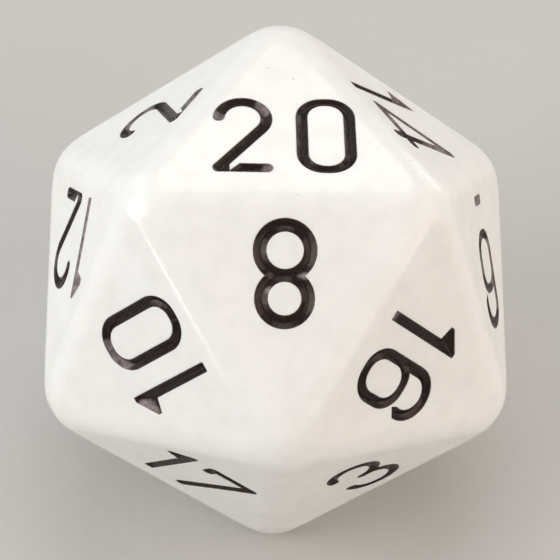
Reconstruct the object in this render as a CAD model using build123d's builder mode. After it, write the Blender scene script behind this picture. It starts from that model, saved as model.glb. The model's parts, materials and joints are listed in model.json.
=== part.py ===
from build123d import *

import os
from math import acos, asin, atan2, degrees, hypot, sqrt

# A twenty-sided die. The body is one solid moulding with a recess for every digit, and each
# recess holds its own cured fill of paint. The die stands on face 1 with face 20 on top.
# Millimetres. The origin is the middle of the face it stands on, with +Z up.

# Driving dimensions
face_to_face = 20.0  # across two opposite faces
edge_rounding = 2.1  # radius that tumbling leaves on the edges and corners
digit_height = 4.55
digit_width = 2.58  # of the digits with a round bow
stroke = 0.52  # width of an engraved line
cap_stroke = 0.43  # across the foot and the top of the closed digits
digit_gap = 1.0  # bare plastic between the two digits of a pair
baseline = -2.7  # feet of the digits, measured from the middle of their face
engraving_depth = 0.35
paint_recess = 0.08  # the paint stops this far below the face

# Digits in their own frame: X from the middle of the digit, Y from its foot
half = stroke / 2
bow = digit_width / 2 - half  # radius of a bow's centre line
top = digit_height - half  # centre line of a stroke along the top
corner_blend = 0.06  # softening of the cutter's sharp corners

ring_stroke = 0.58  # the two rings of the 8 are cut slightly wider
lower_ring = 1.36  # outer radius of the 8's lower ring
upper_ring = 1.28  # outer radius of the 8's upper ring
upper_ring_y = lower_ring + 2.02
lower_bow = lower_ring - half  # centre lines of the 3's and 5's bows
upper_bow = upper_ring - half
waist = 2.35  # height at which the two bows of the 3 meet

heel_notch = ((-0.55, 0.09), (-0.56, 0.42))  # bottom and top left of the nick above the 2's foot

one_width = 1.15
one_stem = 0.47
flag_foot = 3.3  # the solid flag of the 1 joins its stem here
flag_tip = (3.5, 3.72)  # lower and upper corner of the flag's blunt tip

four_width = 3.45
four_stem = 0.87  # the stem stands this far right of the middle
four_bar = 0.88  # height of the crossbar

bowl_height = 2.9  # closed bowl of the 6, and of the 9 turned over
terminal = ((bow + half, -0.13), (0.86, -0.48), (0.75, -0.2))  # cut end of the 6's crook
serif_foot = 3.75  # lower end of the short serif of the 7
seven_foot = -0.5

bar_length = 1.3  # the mark that tells 6 from 9
bar_height = 0.46
bar_corner = 0.15
bar_y = 0.08  # middle of the mark above the common baseline
underline_lift = 1.4  # a lone 6 or 9 sits this much higher, above its mark

widths = {digit: digit_width for digit in range(10)} | {1: one_width, 4: four_width}
tuck = {4: 0.35, 7: 0.3}  # these digits are open at one side and stand closer to a 1

# How far right of and above the common place some numbers were engraved
nudge = {2: (-0.1, 0), 3: (0.3, 0.2), 14: (0.27, -0.3), 16: (0.25, 0.1), 17: (-0.15, 0.45)}

# Faces of a regular icosahedron: the angles of the three neighbours of one face and of the
# six faces beyond them, and how far those six swing away from their nearest neighbour face
inradius = face_to_face / 2
crown_tilt = degrees(acos(sqrt(5) / 3))
belt_tilt = degrees(acos(1 / 3))
belt_swing = degrees(acos(sqrt(5 / 8)))
centre = Vector(0, 0, inradius)
opposite_sum = 21


def direction(tilt, azimuth):
    """Unit vector that leans by tilt from straight up, towards azimuth."""
    return Vector(0, 0, 1).rotate(Axis.Y, tilt).rotate(Axis.Z, azimuth)


# Outward direction of each face, and the neighbour on whose side its digits have their feet
facing = {20: direction(0, 0)}
footing = {20: 8}
for azimuth, crown, belt in ((-90, 8, (10, 16)), (30, 14, (6, 4)), (150, 2, (18, 12))):
    facing[crown] = direction(crown_tilt, azimuth)
    footing[crown] = 20
    for number, swing in zip(belt, (-belt_swing, belt_swing)):
        facing[number] = direction(belt_tilt, azimuth + swing)
        footing[number] = crown
for number in list(facing):
    facing[opposite_sum - number] = -facing[number]
    footing[opposite_sum - number] = opposite_sum - footing[number]


def face_plane(number, x, y):
    """Plane in a face, its X along the line of digits, its origin at x, y from the middle."""
    out = facing[number]
    foot_side = facing[footing[number]]
    up = -(foot_side - out * out.dot(foot_side)).normalized()
    right = up.cross(out)
    origin = centre + out * inradius + right * x + up * y
    return Plane(origin=origin, x_dir=right, z_dir=out)


# Outlines of the digits, each drawn into the sketch that is open
def closed_bowl(height):
    with Locations((0, height / 2)):
        RectangleRounded(digit_width, height, bow + half / 2)
        RectangleRounded(
            digit_width - 2 * stroke,
            height - 2 * cap_stroke,
            bow - half - corner_blend,
            mode=Mode.SUBTRACT,
        )


def digit_0():
    closed_bowl(digit_height)


def digit_1():
    right = one_width / 2
    left = right - one_stem
    tip_low, tip_high = flag_tip
    with BuildLine(mode=Mode.PRIVATE) as edge:
        Polyline(
            (left, 0),
            (right, 0),
            (right, digit_height),
            (right - one_stem / 2, digit_height),
            (-right, tip_high),
            (-right, tip_low),
            (left, flag_foot),
            close=True,
        )
    outline = make_face(edge.edges())
    fillet(outline.vertices(), corner_blend)


def digit_2():
    crook_y = top - bow
    reach = hypot(bow, crook_y - half)  # from the lower left corner to the crook's middle
    slope = degrees(atan2(crook_y - half, bow) - asin(bow / reach))
    start = 175
    with BuildLine(mode=Mode.PRIVATE) as pen:
        crook = CenterArc((0, crook_y), bow, start, slope - 90 - start)
        Line(crook @ 1, (-bow, half))
    SlotArc(pen.wire(), stroke)
    with BuildLine(mode=Mode.PRIVATE) as foot:
        foot_end = ThreePointArc((bow, 0), (bow + half, half), (bow, stroke))
        Polyline(foot_end @ 1, (-half / 2, stroke), *heel_notch, (-bow, half), (-bow, 0), (bow, 0))
    make_face(foot.edges())


def digit_3():
    hook = 178
    with BuildLine(mode=Mode.PRIVATE) as upper:
        CenterArc((0, upper_ring_y), upper_bow, hook, -75 - hook)
    with BuildLine(mode=Mode.PRIVATE) as lower:
        CenterArc((0, lower_ring), lower_bow, 75, -75 - hook)
    with BuildLine(mode=Mode.PRIVATE) as middle:
        Line((0, waist), (bow / 2, waist))
    for pen in (upper, lower, middle):
        SlotArc(pen.wire(), stroke)


def digit_4():
    end = four_width / 2 - half
    with BuildLine(mode=Mode.PRIVATE) as stem:
        Line((four_stem, half), (four_stem, top))
    with BuildLine(mode=Mode.PRIVATE) as slant:
        Polyline((four_stem, top), (-end, four_bar), (end, four_bar))
    for pen in (stem, slant):
        SlotArc(pen.wire(), stroke)


def digit_5():
    with BuildLine(mode=Mode.PRIVATE) as pen:
        bowl = CenterArc((0, lower_ring), lower_bow, 130, -300)
        Polyline(bowl @ 0, (-bow + half, top), (bow, top))
    SlotArc(pen.wire(), stroke)


def digit_6():
    crook_y = top - bow
    with BuildLine(mode=Mode.PRIVATE) as pen:
        Line((-bow, bowl_height / 2), (-bow, crook_y))
        CenterArc((0, crook_y), bow, 180, -180)
    SlotArc(pen.wire(), stroke)
    cut = [(x, crook_y + y) for x, y in ((bow - half, 0), (bow + half, 0), *terminal)]
    with BuildLine(mode=Mode.PRIVATE) as tip:
        Polyline(*cut, close=True)
    make_face(tip.edges())
    closed_bowl(bowl_height)


def digit_7():
    with BuildLine(mode=Mode.PRIVATE) as pen:
        Polyline((-bow, serif_foot), (-bow, top), (bow, top), (seven_foot, half))
    SlotArc(pen.wire(), stroke)


def digit_8():
    rings = ((lower_ring, lower_ring), (upper_ring_y, upper_ring))
    for y, outer in rings:
        with Locations((0, y)):
            Circle(outer)
    for y, outer in rings:
        with Locations((0, y)):
            Circle(outer - ring_stroke, mode=Mode.SUBTRACT)


def digit_9():
    with BuildSketch(mode=Mode.PRIVATE) as six:
        digit_6()
    with Locations(Location((0, digit_height, 0), (0, 0, 180))):
        add(six.sketch)


def bar():
    with Locations((0, bar_y)):
        RectangleRounded(bar_length, bar_height, bar_corner)


outlines = {
    0: digit_0,
    1: digit_1,
    2: digit_2,
    3: digit_3,
    4: digit_4,
    5: digit_5,
    6: digit_6,
    7: digit_7,
    8: digit_8,
    9: digit_9,
}

# Every recess with its paint: name, place and outline
fills = []
for number in sorted(facing):
    digits = [int(figure) for figure in str(number)]
    places = ("tens", "units")[-len(digits) :]
    gap = digit_gap - tuck.get(digits[-1], 0)
    aside, above = nudge.get(number, (0, 0))
    x = aside - (sum(widths[d] for d in digits) + gap * (len(digits) - 1)) / 2
    marked = number in (6, 9)
    y = baseline + above + (underline_lift if marked else 0)
    for digit, place in zip(digits, places):
        plane = face_plane(number, x + widths[digit] / 2, y)
        fills.append((f"paint_fill_{number}_{place}", plane, outlines[digit]))
        x += widths[digit] + gap
    if marked:
        fills.append((f"paint_fill_{number}_bar", face_plane(number, 0, baseline), bar))

# Body: an icosahedron smaller by the rounding, grown by it on every side, then engraved
with BuildPart() as die_body:
    with Locations(centre):
        Sphere(2 * inradius)
    for out in facing.values():
        split(bisect_by=Plane(origin=centre + out * (inradius - edge_rounding), z_dir=-out))
    offset(amount=edge_rounding, kind=Kind.ARC)
    for name, plane, outline in fills:
        with BuildSketch(plane):
            outline()
        extrude(amount=-engraving_depth, mode=Mode.SUBTRACT)
die_body.part.label = "die_body"

os.makedirs("parts", exist_ok=True)
export_step(die_body.part, "parts/die_body.step")

# Paint: each fill covers the floor of its recess and stops short of the face
for name, plane, outline in fills:
    with BuildPart() as paint_fill:
        with BuildSketch(plane.offset(-engraving_depth)):
            outline()
        extrude(amount=engraving_depth - paint_recess)
    paint_fill.part.label = name
    export_step(paint_fill.part, f"parts/{name}.step")
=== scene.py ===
import json
import math

import bpy
import numpy as np
from mathutils import Matrix, Vector
from mathutils.geometry import delaunay_2d_cdt
from mathutils.kdtree import KDTree


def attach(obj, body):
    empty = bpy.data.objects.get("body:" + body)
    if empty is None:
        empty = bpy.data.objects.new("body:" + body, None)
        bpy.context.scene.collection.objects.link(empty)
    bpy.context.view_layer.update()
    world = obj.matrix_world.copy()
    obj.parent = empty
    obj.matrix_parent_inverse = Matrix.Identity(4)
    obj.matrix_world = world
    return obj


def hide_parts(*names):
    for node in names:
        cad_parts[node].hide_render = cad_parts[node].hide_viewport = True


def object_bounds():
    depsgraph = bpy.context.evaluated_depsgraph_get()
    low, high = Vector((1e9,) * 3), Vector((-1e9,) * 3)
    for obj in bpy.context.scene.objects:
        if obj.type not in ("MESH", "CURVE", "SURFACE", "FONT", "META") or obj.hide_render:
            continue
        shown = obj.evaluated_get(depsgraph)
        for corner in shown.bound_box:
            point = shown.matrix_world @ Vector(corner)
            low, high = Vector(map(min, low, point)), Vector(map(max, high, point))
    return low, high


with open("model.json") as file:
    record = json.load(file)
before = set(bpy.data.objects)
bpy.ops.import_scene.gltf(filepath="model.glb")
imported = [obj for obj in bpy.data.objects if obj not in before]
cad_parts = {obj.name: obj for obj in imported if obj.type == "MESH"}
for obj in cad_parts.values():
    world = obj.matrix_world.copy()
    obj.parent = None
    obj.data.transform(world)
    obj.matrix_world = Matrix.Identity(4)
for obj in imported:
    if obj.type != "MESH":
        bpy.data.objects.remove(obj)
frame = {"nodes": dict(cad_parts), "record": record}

cad_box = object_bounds()
mm = 0.001

# The solid, as the frame has it: an icosahedron that stands on a face, middle on the Z axis
inradius = (cad_box[1].z - cad_box[0].z) / 2 / mm
centre = np.array([0, 0, inradius])
edge_rounding = 2.1
half_fold = math.asin(2 / 3) / 2  # from a face to the ridge beside it
corner_lean = math.acos(math.sqrt((5 + 2 * math.sqrt(5)) / 15))  # from a face to a corner
inner_side = (inradius - edge_rounding) * math.tan(half_fold)  # middle of a face to its flat's side
inner_corner = 2 * inner_side
side_angles = np.radians([-90, 30, 150])
corner_angles = np.radians([90, 210, 330])

# Tumbled corners, and the slight unevenness of a moulding
corner_start = 11.3
corner_wear = 0.2
waviness = 0.006
wave_length = 5.2
face_sink = 0.012
sink_reach = 3.0

# The grooves and the paint in them, by distance inside the numeral's outline
lip = 0.035
wall_slope = 1.4
groove_floor = 0.34
paint_edge = 0.018
paint_slope = 0.86
paint_sag = 0.6
paint_floor = 0.24
paint_ragged = 0.002
ragged_length = 0.45
ragged_reach = 0.06  # the raggedness of the paint's edge dies away over this distance
paint_pooling = 0.014
pooling_length = 1.3
pooling_start = 0.15  # from here inwards the paint pools in full
paint_under = 0.03

# Painted glints: streaks where the paint's colour is made lighter to stand in for reflections on the
# groove walls; for each number, the two ends and the radius of each streak, in the plane of the
# face, X to the right of its middle and Y above it
glint_streaks = {
    20: (
        ((-2.85, 0.8), (-2.7, 0.55), 0.32),
        ((-0.75, -2.45), (-0.5, -2.45), 0.3),
        ((-1.0, 1.5), (-0.8, 1.1), 0.3),
    ),
    8: (((0.62, 0.3), (0.68, 0.36), 0.16), ((-0.9, -0.28), (-0.8, -0.28), 0.18)),
    10: (
        ((-2.2, 1.15), (-1.65, 1.6), 0.26),
        ((0.2, 1.3), (0.5, 1.6), 0.28),
        ((0.5, 1.65), (1.4, 1.7), 0.24),
    ),
    16: (((-1.2, -2.6), (-1.2, -2.45), 0.26), ((-0.3, 0.5), (-0.1, 0.7), 0.2)),
    12: (((-1.45, -2.7), (-1.45, 1.7), 0.34), ((-2.3, 1.0), (-1.5, 1.7), 0.34)),
    2: (((-0.4, -2.45), (1.2, -2.45), 0.4), ((0.8, 1.05), (0.0, 1.6), 0.42)),
    14: (
        ((-0.3, -2.12), (1.3, -2.12), 0.36),
        ((-0.3, -2.12), (2.04, 1.29), 0.32),
        ((2.04, -0.4), (2.04, 1.3), 0.36),
        ((-2.3, 0.7), (-1.45, 1.5), 0.36),
    ),
    6: (
        ((-1.03, -0.5), (-1.03, 2.3), 0.3),
        ((1.03, -0.5), (1.03, 0.9), 0.3),
        ((-0.5, -2.62), (0.5, -2.62), 0.3),
    ),
}

# Mesh spacing
outline_step = 0.09
outline_turn = math.radians(24)
rows = (-0.09, -0.045, -0.018, 0.03, 0.07, 0.12, 0.18, 0.245)
row_tolerance = 0.008
groove_fill = 0.11
flat_step = 0.5
rim_step = 0.4
rim_tilts = np.linspace(0, half_fold, 7)[:-1]
corner_tilts = np.linspace(0, corner_lean, 9)[1:-1]
corner_steps = 9
row_gap = 0.024
margin = 0.3  # how far from a numeral its outline matters
weld = 0.001
normal_step = 0.012


# Faces

def unit(vector):
    return vector / np.linalg.norm(vector)


def face_axes(mount):
    """Right, up and outward directions of a face; its bare spot lies above its numeral."""
    out = unit(np.array(mount["axis"]))
    up = unit(np.array(mount["pos_m"]) / mm - centre - out * inradius)
    return np.array([np.cross(up, out), up, out])


def to_face(axes, points):
    return (points - centre) @ axes.T - [0, 0, inradius]


def to_world(axes, points):
    return centre + (points + [0, 0, inradius]) @ axes


def around(angles):
    return np.stack([np.cos(angles), np.sin(angles)], axis=-1)


def to_sides(points, starts, ends):
    """Distance from each point to the nearest of some straight sides."""
    (ax, ay), (bx, by) = starts.T, (ends - starts).T
    x, y = points[:, :1] - ax, points[:, 1:] - ay
    share = np.clip((x * bx + y * by) / (bx**2 + by**2), 0, 1)
    return np.sqrt(((x - share * bx) ** 2 + (y - share * by) ** 2).min(axis=1))


def rounded_height(points):
    """Height of the smooth rounded solid above a face's plane."""
    corners = inner_corner * around(corner_angles)
    past = (points @ around(side_angles).T).max(axis=1) > inner_side
    away = to_sides(points, corners, np.roll(corners, -1, axis=0))
    away = np.minimum(np.where(past, away, 0), 0.999 * edge_rounding)
    return np.sqrt(edge_rounding**2 - away**2) - edge_rounding


def ripple(points, length, seed):
    """Smooth random waves in space, between about -1 and 1."""
    random = np.random.default_rng(seed)
    directions = random.normal(size=(9, 3))
    directions /= np.linalg.norm(directions, axis=1)[:, None]
    stretch = random.uniform(0.6, 1.5, 9)
    phases = random.uniform(0, 2 * np.pi, 9)
    return np.sin(points @ (directions.T * stretch) * (2 * np.pi / length) + phases).sum(axis=1) / 4


def tumbled(points):
    """Points of the ideal solid, moved in or out to where wear and moulding leave them."""
    reach = np.linalg.norm(points - centre, axis=1)
    past = np.clip(reach - corner_start, 0, None)
    change = waviness * ripple(points, wave_length, 3) - corner_wear * past**2
    return centre + (points - centre) * (1 + change / reach)[:, None]


# Numerals

def outline_loops(node, axes):
    """Closed loops round the top of a CAD paint fill, in its face's plane."""
    mesh = node.data
    points = to_face(axes, np.array([v.co for v in mesh.vertices]) / mm)
    top = points[:, 2].max()
    keys = [tuple(np.round(p[:2], 4)) for p in points]
    sides = set()
    for polygon in mesh.polygons:
        corners = list(polygon.vertices)
        if all(points[i, 2] > top - 0.01 for i in corners):
            sides |= {(keys[a], keys[b]) for a, b in zip(corners, corners[1:] + corners[:1])}
    follow = {a: b for a, b in sides if (b, a) not in sides}
    loops = []
    while follow:
        start, point = follow.popitem()
        loop = [start]
        while point != start:
            loop.append(point)
            point = follow.pop(point)
        loops.append(spaced(np.array(loop)))
    return loops


def spaced(loop):
    """A closed loop with a point at each turn and at most one step between points."""
    kept, length, turn = [], outline_step, 0
    for before, here, after in zip(np.roll(loop, 1, axis=0), loop, np.roll(loop, -1, axis=0)):
        coming, going = here - before, after - here
        length += np.linalg.norm(coming)
        turn += abs(math.atan2(np.cross(coming, going), coming @ going))
        if length > 0.75 * outline_step or turn > outline_turn:
            kept.append(here)
            length, turn = 0, 0
    out = []
    for here, after in zip(kept, kept[1:] + kept[:1]):
        pieces = math.ceil(np.linalg.norm(after - here) / outline_step)
        out += [here + (after - here) * k / pieces for k in range(pieces)]
    return np.array(out)


def loop_sides(loops):
    return np.concatenate(loops), np.concatenate([np.roll(loop, -1, axis=0) for loop in loops])


def depth_inside(points, loops):
    """Distance inside the outline that the loops make, negative outside it, to the margin."""
    starts, ends = loop_sides(loops)
    near = (points > starts.min(axis=0) - margin) & (points < starts.max(axis=0) + margin)
    near = near.all(axis=1)
    found = np.full(len(points), -margin)
    if near.any():
        found[near] = exact_depth(points[near], starts, ends)
    return found


def exact_depth(points, starts, ends):
    """Distance to the outline, counted as inside where a line from the point crosses it oddly."""
    distance = to_sides(points, starts, ends)
    x, y = points[:, :1], points[:, 1:]
    crosses = (starts[:, 1] > y) != (ends[:, 1] > y)
    rise = np.where(ends[:, 1] == starts[:, 1], 1, ends[:, 1] - starts[:, 1])
    at = starts[:, 0] + (y - starts[:, 1]) * (ends[:, 0] - starts[:, 0]) / rise
    inside = (crosses & (x < at)).sum(axis=1) % 2 == 1
    return np.where(inside, distance, -distance)


def glint_share(points, number):
    """How strongly the painted glint lightens the paint, from 0 to 1 in the middle of a glint
    streak.
    """
    found = np.zeros(len(points))
    for start, end, radius in glint_streaks.get(number, ()):
        away = to_sides(points, np.array([start]), np.array([end]))
        found = np.maximum(found, np.clip(2 - 2 * away / radius, 0, 1))
    return found


# Surfaces over a face, as heights above its plane

def groove_depth(inside):
    """Depth of the bare groove: a rounded lip, a straight wall and a narrow floor."""
    start = np.clip(inside + lip, 0, None)
    wall = wall_slope * (np.sqrt(start**2 + lip**2) - lip)
    return groove_floor * np.tanh(wall / groove_floor)


def paint_depth(inside, world):
    """Depth of the paint: it clings to the walls and pools along the middle of the groove."""
    start = np.clip(inside, 0, None)
    ragged = paint_ragged * ripple(world, ragged_length, 11) * np.exp(-start / ragged_reach)
    pool = paint_pooling * ripple(world, pooling_length, 12) * np.clip(start / pooling_start, 0, 1)
    wall = paint_slope * start - paint_sag * start**2
    return paint_edge + ragged + pool + np.minimum(wall, paint_floor)


def face_surface(axes, loops, points, layer):
    """Points of one layer, plastic, paint or the underside of the paint, over a face."""
    radius = np.clip(np.linalg.norm(points, axis=1) / sink_reach, 0, 1)
    height = rounded_height(points) - face_sink * (1 - radius**2) ** 2
    flat = tumbled(to_world(axes, np.column_stack([points, height])))
    inside = depth_inside(points, loops)
    depth = groove_depth(inside)
    if layer == "paint":
        depth = paint_depth(inside, flat)
    if layer == "underside":
        depth = np.maximum(depth, paint_depth(inside, flat)) + paint_under
    return flat - depth[:, None] * axes[2]


def surface_normals(axes, loops, points, layer):
    """Outward normals, from points a little to each side."""
    right, up = np.array([normal_step, 0]), np.array([0, normal_step])
    across, along = (
        face_surface(axes, loops, points + step, layer)
        - face_surface(axes, loops, points - step, layer)
        for step in (right, up)
    )
    normals = np.cross(across, along)
    return normals / np.linalg.norm(normals, axis=1)[:, None]


# Triangles over a face

def ridge(side_angle):
    """Border between a face and a neighbour, from one corner of the solid to the next."""
    out = np.append(np.sin(half_fold) * around(side_angle), np.cos(half_fold))
    ends = []
    for turn in (-1, 1):
        to_corner = around(side_angle + turn * np.pi / 3)
        pole = np.append(np.sin(corner_lean) * to_corner, np.cos(corner_lean))
        corner = np.append(inner_corner * to_corner, -edge_rounding)
        share = np.linspace(0, 1, corner_steps)[:, None]
        angle = math.acos(out @ pole)
        blend = np.sin((1 - share) * angle) * out + np.sin(share * angle) * pole
        ends.append(corner + edge_rounding * blend / math.sin(angle))
    first, last = ends[0][::-1], ends[1]
    steps = math.ceil(np.linalg.norm(last[0] - first[-1]) / rim_step)
    share = np.arange(1, steps)[:, None] / steps
    middle = first[-1] + (last[0] - first[-1]) * share
    return np.concatenate([first, middle, last])[:-1, :2]


def rim_points():
    """Rows along the rounded edges and rings round the rounded corners of a face."""
    length = inner_corner * math.sqrt(3)
    along = np.linspace(-length / 2, length / 2, math.ceil(length / rim_step) + 1)
    found = []
    for angle in side_angles:
        out, right = around(angle), around(angle + np.pi / 2)
        for tilt in rim_tilts:
            away = inner_side + edge_rounding * math.sin(tilt)
            found.append(away * out + along[:, None] * right)
    for angle in corner_angles:
        for k, tilt in enumerate(corner_tilts):
            spread = np.linspace(-np.pi / 3, np.pi / 3, k + 4)
            ring = edge_rounding * math.sin(tilt) * around(angle + spread)
            found.append(inner_corner * around(angle) + ring)
    points = np.concatenate(found)
    height = inradius + rounded_height(points)
    reach = (points @ around(side_angles).T).max(axis=1)
    return points[reach < height * math.tan(half_fold) - 0.25 * rim_step * math.sin(half_fold)]


def lattice(step, reach):
    """Points a step apart in rows of triangles."""
    count = math.ceil(reach / step)
    j, i = np.mgrid[-count : count + 1, -count : count + 1].reshape(2, -1)
    return np.column_stack([(i + (j % 2) / 2) * step, j * step * math.sqrt(3) / 2])


class Scatter:
    """A growing set of points that keeps new ones clear of those already there."""

    cell = 0.12

    def __init__(self):
        self.points, self.cells = [], {}

    def key(self, point):
        return int(point[0] // self.cell), int(point[1] // self.cell)

    def clear(self, point, gap):
        reach = math.ceil(gap / self.cell)
        x, y = self.key(point)
        for i in range(x - reach, x + reach + 1):
            for j in range(y - reach, y + reach + 1):
                for other in self.cells.get((i, j), ()):
                    if math.dist(point, other) < gap:
                        return False
        return True

    def add(self, points, gap=0):
        """Adds the points that are clear, and returns the index of the first."""
        first = len(self.points)
        for point in map(tuple, points):
            if gap == 0 or self.clear(point, gap):
                self.points.append(point)
                self.cells.setdefault(self.key(point), []).append(point)
        return first


def loop_rows(loops):
    """Points beside the outline, at each of the rows' distances inside it."""
    found = []
    for loop in loops:
        tangent = np.roll(loop, -1, axis=0) - np.roll(loop, 1, axis=0)
        inward = np.column_stack([-tangent[:, 1], tangent[:, 0]])
        inward /= np.linalg.norm(inward, axis=1)[:, None]
        for k, row in enumerate(rows):
            start = loop
            if k % 2:
                start = (loop + np.roll(loop, -1, axis=0)) / 2
            points = start + inward * row
            true = abs(depth_inside(points, loops) - row) < row_tolerance
            found.append(points[true])
    return np.concatenate(found)


def triangulate(loops):
    """Points and triangles over a face, with the numeral's outline among their sides."""
    scatter = Scatter()
    border = np.concatenate([ridge(angle) for angle in side_angles])
    sides = []
    for loop in [border, *loops]:
        first = scatter.add(loop)
        sides += [(first + k, first + (k + 1) % len(loop)) for k in range(len(loop))]
    scatter.add(loop_rows(loops), row_gap)
    filling = lattice(groove_fill, inner_corner)
    near = depth_inside(filling, loops)
    scatter.add(filling[near > rows[0]], 0.6 * groove_fill)
    rim = rim_points()
    scatter.add(rim, 0.3 * rim_step)
    flat = lattice(flat_step, inner_corner)
    within = (flat @ around(side_angles).T).max(axis=1) < inner_side - 0.3 * flat_step
    scatter.add(flat[within], 0.45 * flat_step)
    vectors = [Vector(p) for p in scatter.points]
    points, _, triangles, *_ = delaunay_2d_cdt(vectors, sides, [], 1, 1e-6)
    return np.array([tuple(p) for p in points]), np.array(triangles), len(border)


# Meshes

def make_piece(name, node, material, points, triangles, normals, attributes):
    """A mesh object that stands for a CAD node, with its own normals and vertex values."""
    mesh = bpy.data.meshes.new(name)
    mesh.from_pydata((points * mm).tolist(), [], triangles.tolist())
    for key, values in attributes.items():
        layer = mesh.attributes.new(key, "FLOAT", "POINT")
        layer.data.foreach_set("value", values.astype(np.float32))
    mesh.polygons.foreach_set("use_smooth", [True] * len(triangles))
    mesh.normals_split_custom_set_from_vertices(normals.tolist())
    mesh.materials.append(material)
    piece = bpy.data.objects.new(name, mesh)
    bpy.context.scene.collection.objects.link(piece)
    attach(piece, "root")
    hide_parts(node)
    return piece


def make_paint(name, number, axes, loops, points, triangles, material):
    """A shallow closed patch of paint: a sagging top, an underside in the plastic, and a rim."""
    inside = depth_inside(points, loops)
    middle = points[triangles].mean(axis=1)
    mine = triangles[depth_inside(middle, loops) > 0]
    used, mine = np.unique(mine, return_inverse=True)
    mine = mine.reshape(-1, 3)
    points, inside = points[used], inside[used]
    count = len(points)
    sides = {tuple(side) for tri in mine for side in zip(tri, np.roll(tri, -1))}
    rim = np.array([side for side in sides if side[::-1] not in sides])
    rim = rim[np.lexsort((rim[:, 1], rim[:, 0]))]
    a, b = rim[:, 0], rim[:, 1]
    walls = np.concatenate([np.stack([b, a, a + count], 1), np.stack([b, a + count, b + count], 1)])
    top = face_surface(axes, loops, points, "paint")
    under = face_surface(axes, loops, points, "underside")
    normals = surface_normals(axes, loops, points, "paint")
    values = {"inside": np.clip(inside, 0, None), "glint": glint_share(points, number)}
    make_piece(
        name.replace("paint_fill", "paint"),
        name,
        material,
        np.concatenate([top, under]),
        np.concatenate([mine, mine[:, ::-1] + count, walls]),
        np.concatenate([normals, np.zeros_like(normals)]),
        {key: np.tile(value, 2) for key, value in values.items()},
    )


def merge_seams(points, seam):
    """The index of the point that stands for each point once the faces are joined."""
    tree = KDTree(len(seam))
    for index in seam:
        tree.insert(points[index], index)
    tree.balance()
    stand = np.arange(len(points))
    for index in seam:
        stand[index] = min(other for _, other, _ in tree.find_range(points[index], weld))
    return stand


def make_die(plastic, paint):
    """Every face in turn, with its paint, then the faces joined into one moulding."""
    parts = {key: [] for key in ("points", "triangles", "normals", "ridge", "inside")}
    seam, total = [], 0
    for mount in frame["record"]["mounts"]:
        number = int(mount["name"].removeprefix("face_"))
        axes = face_axes(mount)
        fills = {
            name: outline_loops(node, axes)
            for name, node in sorted(frame["nodes"].items())
            if name.startswith(f"paint_fill_{number}_")
        }
        loops = [loop for fill in fills.values() for loop in fill]
        points, triangles, border = triangulate(loops)
        for name, own in fills.items():
            make_paint(name, number, axes, own, points, triangles, paint)
        parts["points"].append(face_surface(axes, loops, points, "plastic"))
        parts["normals"].append(surface_normals(axes, loops, points, "plastic"))
        parts["triangles"].append(triangles + total)
        parts["ridge"].append(np.sqrt(np.clip(-rounded_height(points), 0, None)))
        parts["inside"].append(depth_inside(points, loops))
        seam += range(total, total + border)
        total += len(points)
    points, triangles, normals, ridges, inside = map(np.concatenate, parts.values())
    stand = merge_seams(points, seam)
    joined = np.zeros_like(normals)
    np.add.at(joined, stand, normals)
    used, triangles = np.unique(stand[triangles], return_inverse=True)
    triangles = triangles.reshape(-1, 3)
    normals = joined[used] / np.linalg.norm(joined[used], axis=1)[:, None]
    values = {"ridge": ridges[used], "inside": inside[used]}
    make_piece(
        "moulding", "die_body", plastic, points[used], triangles, normals, values
    )


# Materials

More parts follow.
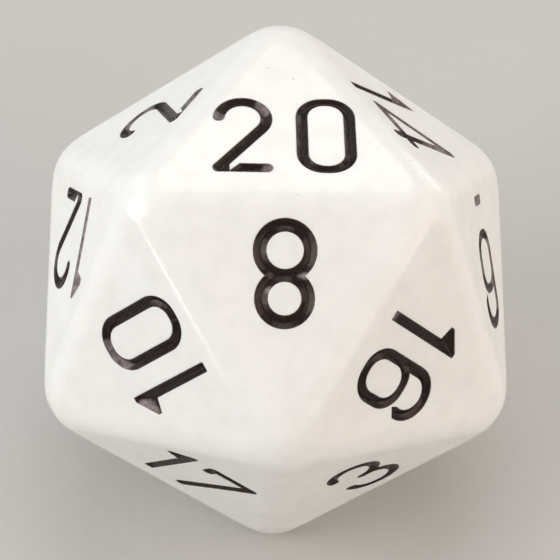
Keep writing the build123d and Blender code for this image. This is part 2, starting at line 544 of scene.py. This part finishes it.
class Nodes:
    """A material's node tree, with short calls for the nodes that both materials use."""

    def __init__(self, name):
        self.material = bpy.data.materials.new(name)
        self.material.use_nodes = True
        self.tree = self.material.node_tree
        self.shader = self.tree.nodes["Principled BSDF"]
        place = self.add("ShaderNodeTexCoord").outputs["Object"]
        self.place = self.scaled(place, 1 / mm)  # in millimetres

    def add(self, kind, **settings):
        node = self.tree.nodes.new(kind)
        for key, value in settings.items():
            setattr(node, key, value)
        return node

    def put(self, socket, value):
        if isinstance(value, bpy.types.NodeSocket):
            self.tree.links.new(value, socket)
        else:
            socket.default_value = value

    def scaled(self, vector, factor):
        node = self.add("ShaderNodeVectorMath", operation="SCALE")
        self.put(node.inputs[0], vector)
        self.put(node.inputs["Scale"], factor)
        return node.outputs[0]

    def math(self, operation, *values):
        node = self.add("ShaderNodeMath", operation=operation)
        for socket, value in zip(node.inputs, values):
            self.put(socket, value)
        return node.outputs[0]

    def noise(self, scale, detail=3, roughness=0.5, place=None):
        """Noise about the value 0.5, with so many features per millimetre."""
        node = self.add("ShaderNodeTexNoise")
        self.put(node.inputs["Vector"], place or self.place)
        self.put(node.inputs["Scale"], scale)
        self.put(node.inputs["Detail"], detail)
        self.put(node.inputs["Roughness"], roughness)
        return node.outputs["Fac"]

    def between(self, value, low, high, start=0.0, end=1.0):
        """The value, taken from the range low to high over to start to end, and clamped."""
        node = self.add("ShaderNodeMapRange")
        for socket, given in zip(node.inputs, (value, low, high, start, end)):
            self.put(socket, given)
        return node.outputs[0]

    def mix(self, share, first, second):
        node = self.add("ShaderNodeMix", data_type="RGBA")
        self.put(node.inputs["Factor"], share)
        for name, colour in (("A", first), ("B", second)):
            socket = next(s for s in node.inputs if s.name == name and s.type == "RGBA")
            self.put(socket, colour if isinstance(colour, bpy.types.NodeSocket) else (*colour, 1))
        return next(s for s in node.outputs if s.type == "RGBA")

    def attribute(self, name):
        return self.add("ShaderNodeAttribute", attribute_name=name).outputs["Fac"]

    def squeezed(self, turn, scale):
        """The place, turned and squeezed along one axis, so that noise runs out into hairlines."""
        node = self.add("ShaderNodeMapping")
        self.put(node.inputs["Vector"], self.place)
        self.put(node.inputs["Rotation"], turn)
        self.put(node.inputs["Scale"], scale)
        return node.outputs["Vector"]

    def bump(self, height, distance, below=None):
        node = self.add("ShaderNodeBump")
        self.put(node.inputs["Height"], height)
        self.put(node.inputs["Distance"], distance)
        if below is not None:
            self.put(node.inputs["Normal"], below)
        return node.outputs["Normal"]

    def finish(self, **inputs):
        for name, value in inputs.items():
            self.put(self.shader.inputs[name.replace("_", " ")], value)
        return self.material


def plastic_material():
    """Polished off-white plastic with faint clouding, a few specks, hairlines, edges rougher from
    wear, and a painted highlight that lightens the edges.
    """
    n = Nodes("off_white_plastic")
    cloud = n.between(n.noise(0.11, 2), 0.3, 0.7)
    colour = n.mix(cloud, (0.88, 0.872, 0.845), (0.912, 0.912, 0.89))
    mottle = n.between(n.noise(0.8, 4, 0.6), 0.42, 0.66, 0, 0.6)
    colour = n.mix(mottle, colour, (0.825, 0.822, 0.8))
    # Towards the rounded edges: rougher from wear, and a little lighter in colour, which is a
    # painted highlight along the edges
    ridge_wear_and_sheen = n.between(n.attribute("ridge"), 0.12, 0.36)
    colour = n.mix(n.math("MULTIPLY", ridge_wear_and_sheen, 0.15), colour, (0.93, 0.928, 0.91))

    speck = n.add("ShaderNodeTexVoronoi", feature="F1")
    n.put(speck.inputs["Vector"], n.place)
    n.put(speck.inputs["Scale"], 0.5)
    size = n.between(n.noise(0.7, 0), 0.35, 0.65, 0.022, 0.05)
    edge = n.math("SUBTRACT", size, 0.012)
    dot = n.between(speck.outputs["Distance"], edge, size, 1, 0)
    rare = n.math("GREATER_THAN", n.noise(0.33, 0), 0.52)
    colour = n.mix(n.math("MULTIPLY", n.math("MULTIPLY", dot, rare), 0.3), colour, (0.4, 0.33, 0.27))

    hairs = [
        n.between(n.noise(1.0, 2, 0.5, n.squeezed(turn, (9, 0.25, 9))), 0.62, 0.7)
        for turn in ((0.3, 0.2, 0.9), (1.1, 0.5, 2.3), (2.0, 1.2, 0.4))
    ]
    scratch = n.math("MAXIMUM", n.math("MAXIMUM", *hairs[:2]), hairs[2])
    patch = n.between(n.noise(0.35, 2), 0.45, 0.65)
    scratch = n.math("MULTIPLY", scratch, patch)
    rough = n.between(n.noise(0.6, 5, 0.65), 0.3, 0.7, 0.13, 0.2)
    rough = n.math("MULTIPLY_ADD", scratch, 0.08, rough)
    rough = n.math("MULTIPLY_ADD", ridge_wear_and_sheen, 0.05, rough)

    peel = n.bump(n.noise(0.55, 2), 0.012 * mm)
    grain = n.bump(n.noise(7.0, 2, 0.5), 0.0005 * mm, peel)
    normal = n.bump(n.math("MULTIPLY", scratch, -1), 0.0006 * mm, grain)
    radius = (1.0, 0.85, 0.7)
    return n.finish(
        Base_Color=colour,
        Roughness=rough,
        Normal=normal,
        IOR=1.49,
        Subsurface_Weight=0.25,
        Subsurface_Radius=radius,
        Subsurface_Scale=0.5 * mm,
    )


def paint_material():
    """Semi-gloss black paint, warm where it pools, mauve-grey where it thins at its edges, and
    lighter mauve-grey along painted glints.
    """
    n = Nodes("black_paint")
    pooled = n.between(n.noise(1.6, 3), 0.35, 0.65)
    colour = n.mix(pooled, (0.012, 0.005, 0.004), (0.006, 0.003, 0.003))
    inside = n.attribute("inside")
    ragged = n.math("MULTIPLY_ADD", n.noise(6.0, 4, 0.6), 0.09, inside)
    rim = n.between(ragged, 0.045, 0.085, 1, 0)
    colour = n.mix(n.math("MULTIPLY", rim, 0.55), colour, (0.2, 0.15, 0.155))
    blotch = n.between(n.noise(2.4, 5, 0.65), 0.64, 0.74)
    colour = n.mix(n.math("MULTIPLY", blotch, 0.5), colour, (0.13, 0.1, 0.1))
    patchy = n.between(n.noise(3.2, 4, 0.6), 0.35, 0.6, 0.35, 1)
    # Painted glints: mauve-grey colour along the listed streaks, standing in for reflections of the
    # lamps in the paint
    glint = n.math("MULTIPLY", n.attribute("glint"), patchy)
    colour = n.mix(n.math("MULTIPLY", glint, 0.85), colour, (0.29, 0.24, 0.245))
    rough = n.between(n.noise(3.5, 4, 0.6), 0.3, 0.7, 0.2, 0.36)
    rough = n.math("MULTIPLY_ADD", rim, 0.15, rough)
    waves = n.bump(n.noise(2.2, 2), 0.03 * mm)
    normal = n.bump(n.noise(14.0, 4, 0.6), 0.0012 * mm, waves)
    return n.finish(
        Base_Color=colour,
        Roughness=rough,
        Normal=normal,
        IOR=1.42,
        Specular_Tint=(1.0, 0.84, 0.78, 1.0),
    )


def floor_material():
    """Matt pale board with a barely visible tooth."""
    n = Nodes("pale_board")
    colour = n.mix(n.noise(0.02, 3), (0.52, 0.51, 0.495), (0.56, 0.55, 0.53))
    rough = n.between(n.noise(0.3, 3), 0.3, 0.7, 0.75, 0.9)
    normal = n.bump(n.noise(1.2, 5, 0.6), 0.05 * mm)
    return n.finish(Base_Color=colour, Roughness=rough, Normal=normal)


# The studio

surroundings = 0.4
backdrop = 0.62


def look_at(obj, place, target, roll=0.0):
    """Puts a camera or a light at a place, in millimetres, facing a target."""
    away = Vector(place) - Vector(target)
    turn = away.to_track_quat("Z", "Y").to_matrix().to_4x4()
    obj.matrix_world = Matrix.Translation(Vector(place) * mm) @ turn @ Matrix.Rotation(roll, 4, "Z")


def toward(azimuth, elevation):
    """Direction from the die; azimuth 0 is along -Y and 90 is along X, in degrees."""
    a, e = math.radians(azimuth), math.radians(elevation)
    return np.array([math.sin(a) * math.cos(e), -math.cos(a) * math.cos(e), math.sin(e)])


def make_camera():
    data = bpy.data.cameras.new("camera")
    data.lens = 136.54
    data.sensor_width = 36.0
    data.shift_x = 0.007
    data.shift_y = 0.0067
    data.clip_start = 5 * mm
    data.clip_end = 5000 * mm
    camera = bpy.data.objects.new("camera", data)
    bpy.context.scene.collection.objects.link(camera)
    distance = 98.67
    look_at(camera, centre + distance * toward(-3.11, 47.81), centre, math.radians(3.0))
    bpy.context.scene.camera = camera


def make_light(name, azimuth, elevation, distance, size, power, colour, roll=0.0):
    data = bpy.data.lights.new(name, "AREA")
    data.shape = "RECTANGLE"
    data.size, data.size_y = (side * mm for side in size)
    data.energy = power
    data.color = colour
    light = bpy.data.objects.new(name, data)
    bpy.context.scene.collection.objects.link(light)
    light.visible_camera = False
    look_at(light, centre + distance * toward(azimuth, elevation), centre, roll)


def make_lights():
    """Softboxes overhead, left and, warmer, right, two weaker ones behind, two small windows."""
    make_light("overhead", 176, 64, 190, (110, 150), 0.1, (1.0, 1.03, 1.02))
    make_light("left_side", -76, 26, 210, (160, 140), 0.25, (1.0, 1.0, 0.99))
    make_light("right_front", 62, 28, 230, (260, 190), 0.28, (1.0, 0.845, 0.725))
    make_light("back_left", -130, 35, 200, (110, 110), 0.02, (1.0, 1.0, 1.0))
    make_light("back_right", 138, 16, 200, (110, 80), 0.045, (1.0, 0.98, 0.98))
    make_light("left_window", -52, 3, 230, (10, 24), 0.014, (1.0, 0.98, 0.96))
    make_light("right_window", 53, 12, 215, (10, 16), 0.005, (1.0, 0.98, 0.96))


def make_world():
    """Dim, even surroundings for the die, which the camera sees as a pale backdrop."""
    world = bpy.data.worlds.new("studio")
    world.use_nodes = True
    tree = world.node_tree
    background = tree.nodes["Background"]
    background.inputs["Color"].default_value = (1.0, 0.99, 0.98, 1)
    seen = tree.nodes.new("ShaderNodeLightPath").outputs["Is Camera Ray"]
    strength = tree.nodes.new("ShaderNodeMapRange")
    strength.inputs["To Min"].default_value = surroundings
    strength.inputs["To Max"].default_value = backdrop
    tree.links.new(seen, strength.inputs["Value"])
    tree.links.new(strength.outputs["Result"], background.inputs["Strength"])
    bpy.context.scene.world = world


def make_floor():
    reach, sides = 250, 96
    angles = np.linspace(0, 2 * np.pi, sides, endpoint=False)
    rim = np.column_stack([reach * around(angles), np.zeros(sides)])
    mesh = bpy.data.meshes.new("floor")
    mesh.from_pydata((rim * mm).tolist(), [], [list(range(sides))])
    mesh.materials.append(floor_material())
    floor = bpy.data.objects.new("floor", mesh)
    bpy.context.scene.collection.objects.link(floor)


bpy.context.scene.view_settings.view_transform = "Standard"
make_camera()
make_lights()
make_world()
make_floor()
make_die(plastic_material(), paint_material())
